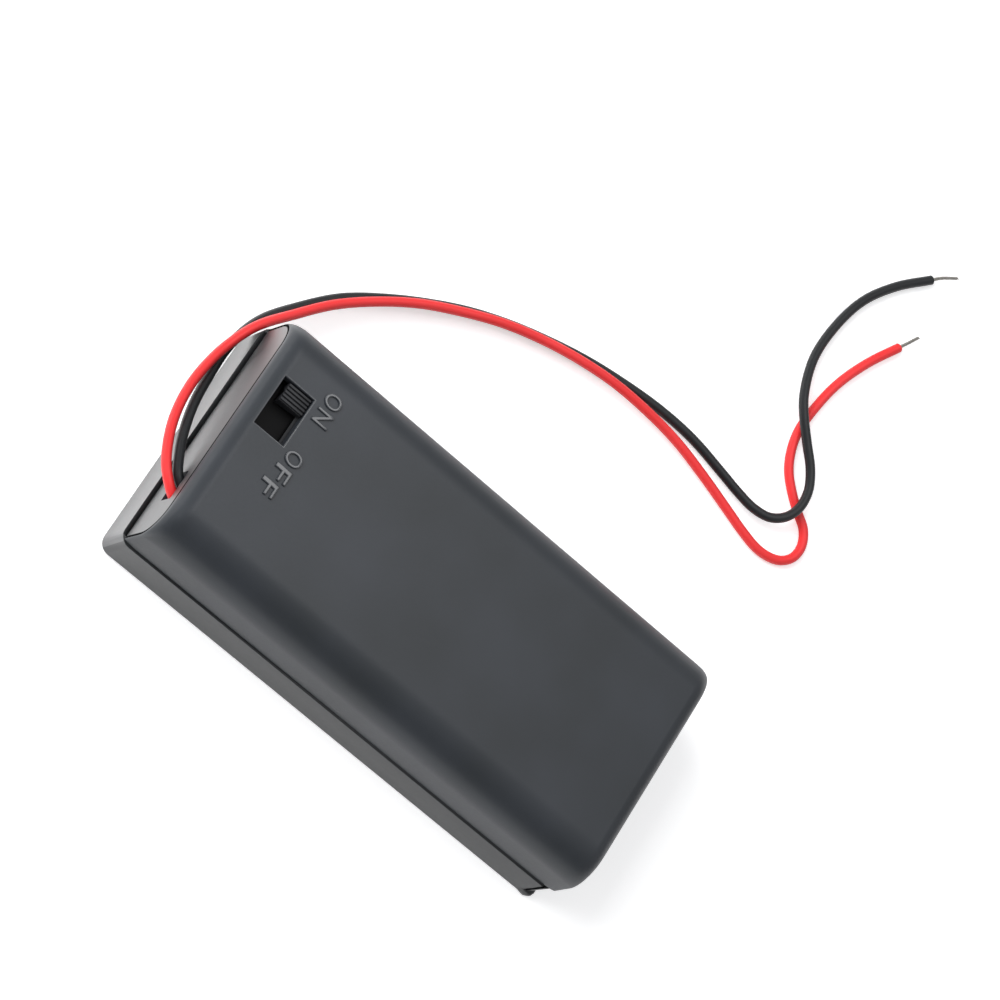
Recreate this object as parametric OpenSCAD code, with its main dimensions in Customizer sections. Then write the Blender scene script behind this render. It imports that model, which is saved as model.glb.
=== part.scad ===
// Holder for two AA cells side by side, with a slide switch and two leads.
// Millimetres. Origin at the bottom centre of the closed case, without the leads.
// X runs along the case, with the leads leaving at the -X end. +Z is up through the switch.

/* [Case] */
// length over the lid's lift lip
case_length = 71.4; // [68:0.2:80]
// width over the lid's side walls
case_width = 33.9; // [32.9:0.2:38]
// height from the lid's bottom to the top face
case_height = 17.2; // [17:0.1:20]
// thickness of the case walls
wall = 1.3; // [1:0.1:1.8]
// radius along the two long top edges
edge_radius = 5; // [3:0.5:6]
// radius along the two short top edges
end_radius = 2.2; // [1:0.1:2.5]
// how far each end leans in between its lower edge and the top
end_draft = 0.35; // [0:0.05:0.6]
// height of the body's lower edge
parting_height = 7; // [6.6:0.1:7.6]
// gap between the body's edge and the lid's side walls
parting_gap = 0.25; // [0.1:0.05:0.4]
// how far the lid's wire end stands out past the body's lower edge
lid_step = 0.55; // [0.2:0.05:0.9]
// how far the body's long sides lie behind the lid's
side_step = 0.25; // [0:0.05:0.4]

/* [Lid] */
// thickness of the lid's floor
lid_floor = 1.2; // [0.9:0.1:1.6]
// thickness of the lid's walls
lid_wall = 1.05; // [0.8:0.05:1.2]
// corner radius of the lid in plan
lid_corner = 1.6; // [0.6:0.1:3]
// radius along the lid's bottom edge
lid_edge = 0.25; // [0.1:0.05:0.5]
// how much lower the lid's wall is at the wire end
wire_end_drop = 0.1; // [0.05:0.05:1.2]
// width of the slots that free the snap wall
snap_slot = 0.5; // [0.3:0.1:1]
// thickness of the snap wall
snap_wall = 1; // [0.8:0.1:1.4]
// how far the lift lip stands out past the snap wall
lip_reach = 0.3; // [0.2:0.1:1]
// height of the lift lip
lip_height = 1.5; // [1:0.1:2.5]
// how far the lift lip stands out past the long sides
lip_side = 0.2; // [0.1:0.1:0.6]

/* [Cells] */
// diameter of one cell
cell_diameter = 14.5; // [13.5:0.1:14.6]
// clearance around a cell in its bay
cell_gap = 0.2; // [0.1:0.05:0.4]
// wire thickness of the contact springs
spring_wire = 0.6; // [0.4:0.1:0.8]
// turns of each contact spring
spring_turns = 4.5; // [3:0.5:6]
// free length of each contact spring
spring_length = 7.6; // [5:0.1:9]
// thickness of the contact plates
plate_thick = 0.4; // [0.3:0.05:0.5]
// gap between the two end plates at the middle line
plate_split = 5.2; // [3:0.2:7]
// distance between a plate's outer edge and the case's side wall
plate_side = 2.25; // [1:0.25:3]
// thickness of the ribs that hold the cells
rib_thick = 1; // [0.8:0.1:1.4]

/* [Switch] */
// size of the switch opening along the case
opening_x = 4.6; // [4.2:0.1:5]
// size of the switch opening across the case
opening_y = 7.1; // [6.6:0.1:8]
// distance from the case's side to the opening's middle
opening_offset = 11.8; // [11:0.05:13]
// travel of the knob from on to off
switch_travel = 4.2; // [3:0.1:4.2]
// size of the ribbed knob along the case
knob_x = 3.4; // [2.8:0.1:3.8]
// size of the ribbed knob across the case
knob_y = 2.5; // [2:0.1:2.7]
// number of ribs on the knob
knob_ribs = 5; // [3:1:7]
// height between the switch base and the carrier above it
base_drop = 3.9; // [3.6:0.1:4.2]

/* [Leads] */
// diameter of the leads over their insulation
lead_diameter = 1.3; // [1:0.1:1.4]
// diameter of the tinned ends
tip_diameter = 0.5; // [0.3:0.1:0.8]
// width of the outlet for the two leads, on the outside
outlet_width = 4.2; // [3.4:0.2:5]
// height of the outlet
outlet_height = 2.6; // [2:0.1:3]

/* [Hidden] */
$fn = 40;
hl = case_length / 2;
hw = case_width / 2;
bx0 = -hl + lid_step;
bx1 = hl - 0.15;
bw = hw - side_step;
lx1 = hl - lip_reach;
zb = parting_height;
// the cells
// the switch chamber and the wall behind it
ch0 = bx0 + end_draft + 1.2;
ch1 = ch0 + 9.5;
part_t = 1.2;
cav0 = ch1 + part_t;
cav1 = bx1 - 1.8;
in_top = case_height - wall;
in_w = bw - wall - 0.15;
// each cell lies against its side wall, midway between the lid's floor and the case's top wall
trough_r = cell_diameter / 2 + cell_gap;
cell_z = (lid_floor + in_top + 0.1) / 2;
yc = in_w - trough_r;
// the opening and the knob
ox = ch0 + 3.1;
oc = hw - opening_offset;
oy1 = oc + opening_y / 2;
kx = ox + 0.4;
ky = oy1 - 0.15 - knob_y / 2;
car_z = in_top - 2;
car_t = 1.1;
base_z = car_z - base_drop;
base_t = 1.2;
// carrier under the opening: it covers it in both positions
car_y0 = oc - opening_y / 2 - 0.6;
car_y1 = oy1 + switch_travel + 0.4;
wip_y = (car_y0 + car_y1) / 2;
term_y = [wip_y - 1.5 * switch_travel, wip_y - 0.5 * switch_travel, wip_y + 0.5 * switch_travel];
// contacts
pl_y0 = plate_split / 2;
pl_y1 = in_w - plate_side;
pl_z0 = lid_floor + 2;
pl_z1 = in_top - 2.3;
tail_z = lid_floor + 3.7;
// the outlet, beside the middle line
out_y = -9;
out_z = 10.4;
// height of the holes in the lugs under the switch base
lug_z = base_z - 2.1;
// ribs and skirts along the bay
rib_x = [for (i = [1:3]) cav0 + (cav1 - cav0) * i / 4 - rib_thick / 2];
skirt_length = 9;
skirt_x = [for (i = [0:2]) cav0 + (cav1 - cav0) * (i + 0.5) / 3 - skirt_length / 2];

// outline of a section across the case, for a given half width, top and corner radius
function sect(w, top, r, z0, n = 9) = concat(
    [[-w, z0], [w, z0]],
    [for (i = [0:n]) [w - r + r * cos(90 * i / n), top - r + r * sin(90 * i / n)]],
    [for (i = [0:n]) [-w + r - r * sin(90 * i / n), top - r + r * cos(90 * i / n)]]);

// rounded rectangle in plan from x0 to x1
function plan(x0, x1, w, r, n = 5) = concat(
    [for (i = [0:n]) [x1 - r + r * cos(90 * i / n), w - r + r * sin(90 * i / n)]],
    [for (i = [0:n]) [x0 + r - r * sin(90 * i / n), w - r + r * cos(90 * i / n)]],
    [for (i = [0:n]) [x0 + r - r * cos(90 * i / n), -w + r - r * sin(90 * i / n)]],
    [for (i = [0:n]) [x1 - r + r * sin(90 * i / n), -w + r - r * cos(90 * i / n)]]);

// tube swept along a list of points, inscribed in its diameter
function unit(v) = v / norm(v);
function tang(p, i) = unit(p[min(i + 1, len(p) - 1)] - p[max(i - 1, 0)]);
function ring(c, t, ref, r, n) = let (u = unit(cross(t, ref)), v = cross(t, u))
    [for (k = [0:n - 1]) c + r * (cos(360 * k / n) * u + sin(360 * k / n) * v)];
module tube(p, d, n = 8, ref = [0, 0, 1]) {
    m = len(p);
    pts = [for (i = [0:m - 1]) each ring(p[i], tang(p, i), ref, d / 2, n)];
    sides = [for (i = [0:m - 2], k = [0:n - 1])
        [i * n + k, (i + 1) * n + k, (i + 1) * n + (k + 1) % n, i * n + (k + 1) % n]];
    polyhedron(points = pts, faces = concat([[for (k = [0:n - 1]) k]], sides,
        [[for (k = [n - 1:-1:0]) (m - 1) * n + k]]), convexity = 6);
}

// box between two corners
module box(a, b) {
    translate(a) cube(b - a);
}

// shift of the lead routes when the case's length changes
route_shift = [35.7 - hl, 0, 0];

// centre lines of the free leads, from the outlet to the end of the insulation
red_points = [[-34.2, -10.4, 11.7], [-35.5, -9.5, 11.8], [-37.2, -7.7, 11.6], [-38.5, -4.9, 10.8],
    [-39.3, -1.5, 9.6], [-39.6, 2, 8.6], [-39.4, 5.7, 7.6], [-38.4, 10.8, 6.5], [-36.6, 15.8, 6.2],
    [-33.1, 21, 5.1], [-29.4, 25.9, 4.1], [-25, 30.3, 3.3], [-20.1, 34.2, 2.9], [-15, 37.3, 2.5],
    [-9.5, 40, 2.4], [-3.9, 42, 2.2], [1.8, 43.4, 2.1], [7.7, 44.3, 1.9], [13.6, 44.5, 1.6],
    [19.5, 44.2, 1.2], [25.4, 43.1, 0.9], [31.1, 41.7, 0.7], [34.1, 40.9, 0.7], [36.9, 40.4, 0.7],
    [39.1, 40.6, 0.7], [40.9, 41.4, 0.7], [42.1, 42.9, 0.7], [42.3, 44.9, 0.7], [41.3, 46.9, 0.7],
    [39.3, 48.3, 0.7], [37.1, 50, 0.7], [35.2, 52, 0.7], [34, 54.4, 0.7], [33.4, 57.2, 0.7],
    [33.5, 60.3, 0.7], [34.5, 66.1, 0.7], [36.6, 71.7, 0.7], [39.4, 76.9, 0.7]];
black_points = [[-34.2, -8.6, 11.7], [-35.4, -7.65, 11.6], [-36.4, -5.5, 10.9], [-37.2, -2.6, 9.7],
    [-37.8, 2.2, 7.7], [-37.8, 7.3, 5.9], [-37.5, 12.5, 4.5], [-35.9, 18.1, 3.3], [-32.4, 23.5, 2.4],
    [-28.5, 28.3, 1.8], [-23.8, 32.3, 1.3], [-18.8, 35.8, 1], [-13.5, 38.9, 0.8], [-8.1, 41.3, 0.7],
    [-2.4, 43.2, 0.7], [3.4, 44.7, 0.7], [9.3, 45.7, 0.7], [15.2, 46.3, 0.7], [21.2, 46.2, 0.8],
    [27.1, 45.2, 1], [30.5, 44.5, 1.2], [33.4, 44.1, 1.5], [35.9, 44.5, 1.8], [37.7, 46, 2.1],
    [38.6, 48.3, 2.2], [38.4, 51, 2.2], [37, 53.6, 2.2], [34.7, 56.1, 2.2], [32.5, 58.6, 2.2],
    [30.9, 61.3, 1.9], [29.6, 66.7, 1.2], [29.9, 72.6, 0.9], [31.4, 78.4, 0.8], [34.4, 83.5, 0.7],
    [38.3, 88, 0.7]];
// centre lines of the stretches inside the case, the first from the lug of the on terminal
lug_x = ox - route_shift[0];
red_inside = [[lug_x - 1.1, term_y[2] - 1.05, lug_z - 0.2],
    [lug_x - 1.6, term_y[2] - 2.75, lug_z - 1], [-32.4, 4, 6.2], [-32.5, 0, 5.9],
    [-32.6, -4.5, 5.9], [-32.6, -8.4, 6.2], [-32.4, -10.4, 7.1], [-32.2, -11.6, 8.4],
    [-32.2, -12, 9.9], [-32.6, -11.6, 11.1], [-33.29, -11.03, 11.63], [-34.2, -10.4, 11.7]];
black_inside = [[-27.6, -7.8, 5.9], [-28.3, -8.1, 6.3], [-28.9, -8.7, 7.1], [-29.5, -9.3, 8.2],
    [-30.3, -9.8, 9.5], [-31.3, -10.1, 10.7], [-32.3, -10, 11.5], [-33.32, -9.4, 11.78],
    [-34.2, -8.6, 11.7]];
link_start = [cav0 - 4.6, yc - 0.3, tail_z + 1];
link_end = [ox + 0.9, term_y[1] + 0.35, lug_z - 0.1];
link_inside = [link_start, link_start + 0.38 * (link_end - link_start) + [0, 0.2, -0.22],
    link_start + 0.76 * (link_end - link_start) + [0, 0.2, -0.24], link_end];

// Case

// solid outer form of the body, lofted through sections with soft ends
module body_form() {
    steps = 6;
    half = [for (s = [0:steps]) end_radius * [1 - cos(90 * s / steps), 1 - sin(90 * s / steps)]];
    rows = concat([for (h = half) [bx0 + h[0], h[1]]],
        [for (i = [steps:-1:0]) [bx1 - half[i][0], half[i][1]]]);
    lean = end_draft / (case_height - zb);
    rings = [for (r = rows) [for (p = sect(bw - 0.14 * r[1], case_height - r[1],
        edge_radius - 0.45 * r[1], zb)) [r[0] - sign(r[0]) * lean * (p[1] - zb), p[0], p[1]]]];
    n = len(rings[0]);
    m = len(rings);
    quads = [for (i = [0:m - 2], k = [0:n - 1]) let (a = i * n + k, b = i * n + (k + 1) % n)
        each [[a, a + n, b + n], [a, b + n, b]]];
    polyhedron(points = [for (r = rings) each r], faces = concat([[for (k = [0:n - 1]) k]], quads,
        [[for (k = [n - 1:-1:0]) (m - 1) * n + k]]), convexity = 4);
}

// rail that holds one edge of a contact plate between two heights
module plate_rail(x, y, s, side, z0, z1) {
    difference() {
        box([min(x, x + s * 1.2), min(y, y + side * 1.1), z0],
            [max(x, x + s * 1.2), max(y, y + side * 1.1), z1]);
        box([s > 0 ? x - 1 : x - plate_thick - 0.05, min(y - side, y + side * 0.4), zb - 1],
            [s > 0 ? x + plate_thick + 0.05 : x + 1, max(y - side, y + side * 0.4), pl_z1 + 0.1]);
    }
}

// hollow of the given length, one wall thickness inside the body
module hollow(x0, x1, grow = 0, from = zb - 1) {
    translate([x0, 0, 0]) rotate([90, 0, 90]) linear_extrude(x1 - x0)
        polygon(sect(in_w + grow, in_top + grow, edge_radius - wall + 0.2, from));
}

// the two cells' round bays
module cell_bays(r) {
    for (s = [-1, 1]) translate([cav0 - 1, s * yc, cell_z]) rotate([0, 90, 0])
        cylinder(r = r, h = cav1 - cav0 + 2, $fn = 72);
}

// ribs across the bay that follow the cells, and the rib between them
module cell_ribs() {
    difference() {
        union() {
            for (x = rib_x) hollow(x, x + rib_thick, 0.1, cell_z);
            box([cav0 + 3, -rib_thick / 2, cell_z + 3.4], [cav1 - 3, rib_thick / 2, in_top + 0.1]);
        }
        cell_bays(trough_r);
        box([cav0, -3, zb - 1], [cav1, 3, cell_z + 2.4]);
    }
}

module case_body() {
    color([0.25, 0.26, 0.28]) difference() {
        union() {
            difference() {
                body_form();
                hollow(cav0, cav1);
                hollow(ch0, ch1);
            }
            cell_ribs();
            // wall between the switch chamber and the cells, down to the lid's floor
            difference() {
                box([ch1, -in_w + 0.3, lid_floor + 0.25], [cav0, in_w - 0.3, zb + 1]);
                for (s = [-1, 1]) box([ch1 - 1, s * yc - 1.6, 0], [cav0 + 1, s * yc + 1.6, tail_z + 0.6]);
            }
            // skirts that stand inside the lid
            for (s = [-1, 1], x = skirt_x) box([x, s > 0 ? in_w - 0.15 : -in_w - 0.4, zb - 2.4],
                [x + skirt_length, s > 0 ? in_w + 0.4 : -in_w + 0.15, zb + 0.6]);
            box([ch0 - 0.5, -in_w + 1.7, zb - 2.6], [ch0, in_w - 1.7, zb + 0.6]);
            box([cav1, -in_w + 2.2, zb - 2.4], [lx1 - snap_wall - 0.15, in_w - 2.2, zb + 0.6]);
            // rails for the contact plates
            for (s = [-1, 1]) {
                plate_rail(cav0, s * (pl_y1 - 0.3), 1, s, zb + 0.3, cell_z + 3.4);
                plate_rail(cav1, s * (pl_y1 - 0.3), -1, s, zb + 0.3, cell_z + 3.4);
                // these end above the button that meets the cell
                plate_rail(cav0, s * (pl_y0 + 0.3), 1, -s, cell_z + 3.4, in_top + 0.1);
            }
            // guide beside the carrier, and the two posts that hold the switch base
            box([ox + 3, car_y0 - 5, car_z - 0.9], [ox + 3.8, oy1 + 5.2, in_top + 0.2]);
            box([ox - 2.6, car_y0 - 6.4, base_z - 0.7], [ox + 2.6, car_y0 - 5, in_top + 0.2]);
            box([ox - 2.6, car_y0 - 5, base_z - 0.7], [ox + 2.6, car_y0 - 4.2, base_z - 0.05]);
            box([ox - 2.6, car_y0 - 5, base_z + base_t + 0.05],
                [ox + 2.6, car_y0 - switch_travel - 0.2, in_top + 0.2]);
            box([ox - 2.6, car_y1 + 0.8, base_z - 0.7], [ox + 2.6, in_w + 0.2, in_top - 2]);
            box([ox - 2.6, car_y1, base_z - 0.7], [ox + 2.6, car_y1 + 0.8, base_z - 0.05]);
            box([ox - 2.6, car_y1 + 0.25, base_z + base_t + 0.05], [ox + 2.6, car_y1 + 0.8, in_top + 0.2]);
        }
        // opening for the knob
        box([ox - opening_x / 2, oy1 - opening_y, in_top - 0.5], [ox + opening_x / 2, oy1, case_height + 1]);
        // outlet for the two leads, wider inside
        translate([0, 0, out_z]) linear_extrude(outlet_height) polygon([
            [bx0 - 0.2, out_y - outlet_width / 2], [bx0 - 0.2, out_y + outlet_width / 2],
            [ch0 - 1.3, out_y + outlet_width / 2], [ch0 + 0.1, out_y + outlet_width / 2 - 0.7],
            [ch0 + 0.1, out_y - outlet_width / 2 - 1], [ch0 - 1.3, out_y - outlet_width / 2]]);
    }
}

// solid outer form of the lid
module lid_form(top) {
    hull() {
        for (h = [0, 0.3]) translate([0, 0, h * lid_edge]) linear_extrude(0.01)
            polygon(plan(-hl + (1 - h / 0.3 * 0.7) * lid_edge, lx1 - (1 - h / 0.3 * 0.7) * lid_edge,
                hw - (1 - h / 0.3 * 0.7) * lid_edge, lid_corner - 0.3 * lid_edge));
        translate([0, 0, lid_edge]) linear_extrude(top - lid_edge) polygon(plan(-hl, lx1, hw, lid_corner));
    }
}

// lip by which the snap wall is lifted
module lift_lip() {
    w = hw + lip_side;
    hull() {
        translate([0, 0, 0.05]) linear_extrude(0.01) polygon([[lx1 - 1.8, -w + 0.9], [hl - 0.9, -w + 0.9],
            [hl - 0.5, -w + 1.4], [hl - 0.5, w - 1.4], [hl - 0.9, w - 0.9], [lx1 - 1.8, w - 0.9]]);
        translate([0, 0, 0.4]) linear_extrude(lip_height - 0.8) polygon([[lx1 - 2.2, -hw + 0.1],
            [lx1 - 1.3, -w + 0.05], [lx1 - 0.9, -w], [hl - 0.9, -w], [hl - 0.25, -w + 0.3], [hl, -w + 0.9],
            [hl, w - 0.9], [hl - 0.25, w - 0.3], [hl - 0.9, w], [lx1 - 0.9, w], [lx1 - 1.3, w - 0.05],
            [lx1 - 2.2, hw - 0.1]]);
        translate([0, 0, lip_height]) linear_extrude(0.01) polygon([[lx1 - 1.6, -hw], [lx1 - 0.3, -hw],
            [lx1, -hw + 0.5], [lx1, hw - 0.5], [lx1 - 0.3, hw], [lx1 - 1.6, hw]]);
    }
}

module battery_lid() {
    top = zb - parting_gap;
    iy = hw - lid_wall;
    color([0.3, 0.31, 0.33]) union() {
        difference() {
            union() {
                lid_form(top);
                lift_lip();
            }
            box([-hl + lid_wall, -iy, lid_floor], [lx1 - snap_wall, iy, top + 1]);
            // lower wall at the wire end, and the snap wall's top
            box([-hl - 1, -iy - 0.1, top - wire_end_drop], [-hl + lid_wall + 0.1, iy + 0.1, top + 1]);
            box([lx1 - snap_wall - 0.1, -hw - 1, top - 0.3], [hl + 1, hw + 1, top + 1]);
            // slots that free the snap wall
            for (s = [-1, 1])
                box([lx1 - snap_wall - snap_slot, s > 0 ? iy - 0.1 : -hw - 1, lip_height + 0.15],
                    [lx1 - snap_wall, s > 0 ? hw + 1 : -iy + 0.1, top + 1]);
        }
        // cradle ribs under the cells, and the rib between them
        difference() {
            union() {
                for (x = rib_x)
                    box([x, -iy + 0.2, lid_floor - 0.2], [x + rib_thick, iy - 0.2, lid_floor + 2]);
                box([cav0 + 2, -0.5, lid_floor - 0.2], [cav1 - 3, 0.5, lid_floor + 3.2]);
            }
            cell_bays(trough_r - 0.02);
        }
    }
}

// Switch

module switch_knob() {
    color([0.12, 0.12, 0.13]) {
        union() {
            box([ox - 2.8, car_y0, car_z], [ox + 2.8, car_y1, car_z + car_t]);
            // raised edges that run under the case's top wall
            box([ox + 1.9, car_y0, car_z + 1], [ox + 2.8, car_y1 - 3, in_top - 0.2]);
            box([ox - 2.8, car_y0, car_z + 1], [ox - 2.35, car_y1 - 3, in_top - 0.2]);
            box([kx - knob_x / 2, ky - knob_y / 2, car_z + 1],
                [kx + knob_x / 2, ky + knob_y / 2, case_height - 0.5]);
            for (i = [0:knob_ribs - 1]) {
                y = ky - knob_y / 2 + knob_y * (i + 0.5) / knob_ribs;
                box([kx - knob_x / 2, y - 0.27 * knob_y / knob_ribs, case_height - 0.6],
                    [kx + knob_x / 2, y + 0.27 * knob_y / knob_ribs, case_height - 0.15]);
            }
        }
    }
}

// sprung brass strip that joins two terminals, with its flat back on the carrier
module switch_wiper() {
    h = switch_travel / 2;
    low = base_z + base_t + 0.4;
    color([0.8, 0.62, 0.3]) union() {
        box([ox - 1.8, wip_y - h - 1.1, car_z - 0.3], [ox + 1.8, wip_y + h + 1.1, car_z]);
        translate([ox - 1.1, 0, 0]) rotate([90, 0, 90]) linear_extrude(2.2) polygon([
            [wip_y - h - 1, car_z - 0.2], [wip_y - h - 0.9, car_z - 0.9], [wip_y - h - 0.25, low],
            [wip_y - h + 0.25, low], [wip_y - h + 1, low + 1.1], [wip_y + h - 1, low + 1.1],
            [wip_y + h - 0.25, low], [wip_y + h + 0.25, low], [wip_y + h + 0.9, car_z - 0.9],
            [wip_y + h + 1, car_z - 0.2], [wip_y + h + 0.7, car_z - 0.2], [wip_y + h + 0.6, car_z - 0.8],
            [wip_y + h + 0.1, low + 0.3], [wip_y + h - 0.1, low + 0.3], [wip_y + h - 0.85, low + 1.4],
            [wip_y - h + 0.85, low + 1.4], [wip_y - h + 0.1, low + 0.3], [wip_y - h - 0.1, low + 0.3],
            [wip_y - h - 0.6, car_z - 0.8], [wip_y - h - 0.7, car_z - 0.2]]);
    }
}

module switch_base() {
    color([0.45, 0.3, 0.16]) difference() {
        box([ox - 2.8, car_y0 - 4.8, base_z], [ox + 2.8, car_y1 + 0.6, base_z + base_t]);
        for (y = term_y) box([ox - 0.3, y - 1.1, base_z - 1], [ox + 0.3, y + 1.1, base_z + base_t + 1]);
    }
}

// contact pad on the base with its solder lug below
module terminal(y) {
    difference() {
        union() {
            box([ox - 2, y - 1.3, base_z + base_t], [ox + 2, y + 1.3, base_z + base_t + 0.3]);
            box([ox - 0.2, y - 0.95, base_z - 3], [ox + 0.2, y + 0.95, base_z + base_t + 0.1]);
        }
        translate([ox, y, base_z - 2.1]) rotate([0, 90, 0]) cylinder(d = 0.9, h = 2, center = true, $fn = 20);
    }
}
module terminal_off() {
    color([0.8, 0.62, 0.3]) terminal(term_y[0]);
}
module terminal_common() {
    color([0.8, 0.62, 0.3]) terminal(term_y[1]);
}
module terminal_on() {
    color([0.8, 0.62, 0.3]) terminal(term_y[2]);
}

// Contacts

// plate at the switch end with its tail through the wall
module end_plate(s) {
    box([cav0, min(s * pl_y0, s * pl_y1), pl_z0], [cav0 + plate_thick, max(s * pl_y0, s * pl_y1), pl_z1]);
    box([cav0 - 4, s * yc - 1.2, tail_z], [cav0 + 0.1, s * yc + 1.2, tail_z + 0.4]);
}
// raised button that meets the positive end of a cell
module button() {
    cylinder(d1 = 6.4, d2 = 5, h = 0.7);
    cylinder(d = 4.6, h = 1.2);
}
// cone spring from its base coil at z = 0, closed at both ends
function coil(n, len) = [for (i = [0:16 * n])
    let (a = 360 * i / 16, f = i / (16 * n), k = max(0, min(1, (f * n - 0.75) / (n - 1.5))))
    [(4.3 - 2 * f) * cos(a), (4.3 - 2 * f) * sin(a), spring_wire / 2 + 0.02 + (len - spring_wire) * k]];

module negative_plate() {
    color([0.72, 0.73, 0.74]) union() {
        end_plate(-1);
    }
}
module positive_plate() {
    color([0.72, 0.73, 0.74]) union() {
        end_plate(1);
        translate([cav0 + plate_thick, yc, cell_z]) rotate([0, 90, 0]) button();
    }
}
module bridge_plate() {
    color([0.72, 0.73, 0.74]) union() {
        for (s = [-1, 1]) box([cav1 - plate_thick, min(s * pl_y0, s * pl_y1), pl_z0],
            [cav1, max(s * pl_y0, s * pl_y1), pl_z1]);
        box([cav1 - plate_thick, -yc, pl_z0], [cav1, yc, cell_z]);
        translate([cav1 - plate_thick, -yc, cell_z]) rotate([0, -90, 0]) button();
    }
}
module negative_spring() {
    color([0.75, 0.76, 0.78]) translate([cav0 + plate_thick, -yc, cell_z]) rotate([0, 90, 0])
        tube(coil(spring_turns, spring_length), spring_wire, 6);
}
module bridge_spring() {
    color([0.75, 0.76, 0.78]) translate([cav1 - plate_thick, yc, cell_z]) rotate([0, -90, 0])
        tube(coil(spring_turns, spring_length), spring_wire, 6);
}

// Leads

module link_lead() {
    color([0.85, 0.1, 0.1]) tube(link_inside, lead_diameter, 8, [0, 0, 1]);
}
module solder_joints() {
    color([0.78, 0.79, 0.8]) {
        for (s = [-1, 1]) translate([cav0 - 4.2, s * yc, tail_z + 0.6]) sphere(0.85, $fn = 20);
        translate([ox + 0.5, term_y[1] + 0.05, lug_z + 0.2]) sphere(0.75, $fn = 20);
        translate([ox - 0.8, term_y[2] - 0.45, lug_z + 0.05]) sphere(0.85, $fn = 20);
    }
}
module red_inner_lead() {
    color([0.85, 0.1, 0.1]) translate(route_shift) tube(red_inside, lead_diameter, 8, [1, 0, 0]);
}
module black_inner_lead() {
    color([0.1, 0.1, 0.11]) translate(route_shift) tube(black_inside, lead_diameter, 8, [0, 1, 0]);
}
module red_lead() {
    color([0.85, 0.1, 0.1]) translate(route_shift) tube(red_points, lead_diameter);
}
module black_lead() {
    color([0.1, 0.1, 0.11]) translate(route_shift) tube(black_points, lead_diameter);
}
module red_tip() {
    color([0.8, 0.8, 0.8]) translate(route_shift)
        tube([[39.4, 76.9, 0.7], [40.3, 78.57, 0.7], [41.1, 80.1, 0.6]], tip_diameter, 8);
}
module black_tip() {
    color([0.8, 0.8, 0.8]) translate(route_shift)
        tube([[38.3, 88, 0.7], [39.3, 89.15, 0.7], [41.5, 91, 0.6]], tip_diameter, 8);
}

case_body();
battery_lid();
switch_knob();
switch_wiper();
switch_base();
terminal_off();
terminal_common();
terminal_on();
negative_plate();
negative_spring();
positive_plate();
bridge_plate();
bridge_spring();
link_lead();
solder_joints();
red_inner_lead();
black_inner_lead();
red_lead();
black_lead();
red_tip();
black_tip();
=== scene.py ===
# Holder for two AA cells: the camera, the leads, the case with its marks, the switch, the contacts, the light.
import math

import bmesh
import bpy
from mathutils import Matrix, Vector


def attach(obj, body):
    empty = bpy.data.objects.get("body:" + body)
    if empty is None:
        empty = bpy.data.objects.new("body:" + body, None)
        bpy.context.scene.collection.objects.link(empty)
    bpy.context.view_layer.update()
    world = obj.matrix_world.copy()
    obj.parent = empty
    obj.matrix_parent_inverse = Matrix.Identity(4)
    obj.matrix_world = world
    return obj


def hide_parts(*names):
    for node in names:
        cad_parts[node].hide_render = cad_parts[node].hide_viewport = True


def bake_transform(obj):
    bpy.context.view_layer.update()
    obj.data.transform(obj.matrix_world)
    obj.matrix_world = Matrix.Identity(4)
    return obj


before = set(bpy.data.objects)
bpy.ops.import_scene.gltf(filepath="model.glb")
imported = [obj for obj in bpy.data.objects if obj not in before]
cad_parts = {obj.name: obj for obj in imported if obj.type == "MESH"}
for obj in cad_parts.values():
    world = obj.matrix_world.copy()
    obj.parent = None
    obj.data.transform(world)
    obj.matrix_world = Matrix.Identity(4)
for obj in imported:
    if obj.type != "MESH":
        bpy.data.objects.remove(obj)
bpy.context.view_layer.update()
mm = 0.001
print("frame loaded")


def hexColour(text):
    # sRGB hex to the linear values that a shader wants
    out = []
    for i in (0, 2, 4):
        c = int(text.lstrip("#")[i:i + 2], 16) / 255
        out.append(c / 12.92 if c <= 0.04045 else ((c + 0.055) / 1.055) ** 2.4)
    return (*out, 1)


def addNode(tree, kind, settings=None, links=None):
    # settings are attributes or input values, links are input name -> output socket
    node = tree.nodes.new(kind)
    for key, value in (settings or {}).items():
        if isinstance(key, str) and hasattr(node, key):
            setattr(node, key, value)
        else:
            node.inputs[key].default_value = value
    for key, socket in (links or {}).items():
        tree.links.new(socket, node.inputs[key])
    return node


def newMaterial(name):
    mat = bpy.data.materials.new(name)
    mat.use_nodes = True
    mat.node_tree.nodes.clear()
    return mat, mat.node_tree


def newShape(name, inputs):
    # an empty Geometry Nodes tree with its named inputs; returns the tree and the two end nodes
    tree = bpy.data.node_groups.new(name, "GeometryNodeTree")
    tree.interface.new_socket("Geometry", in_out="INPUT", socket_type="NodeSocketGeometry")
    for label, value in inputs.items():
        kind = "NodeSocketInt" if isinstance(value, int) else "NodeSocketFloat"
        tree.interface.new_socket(label, in_out="INPUT", socket_type=kind)
    tree.interface.new_socket("Geometry", in_out="OUTPUT", socket_type="NodeSocketGeometry")
    return tree, addNode(tree, "NodeGroupInput"), addNode(tree, "NodeGroupOutput")


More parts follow.
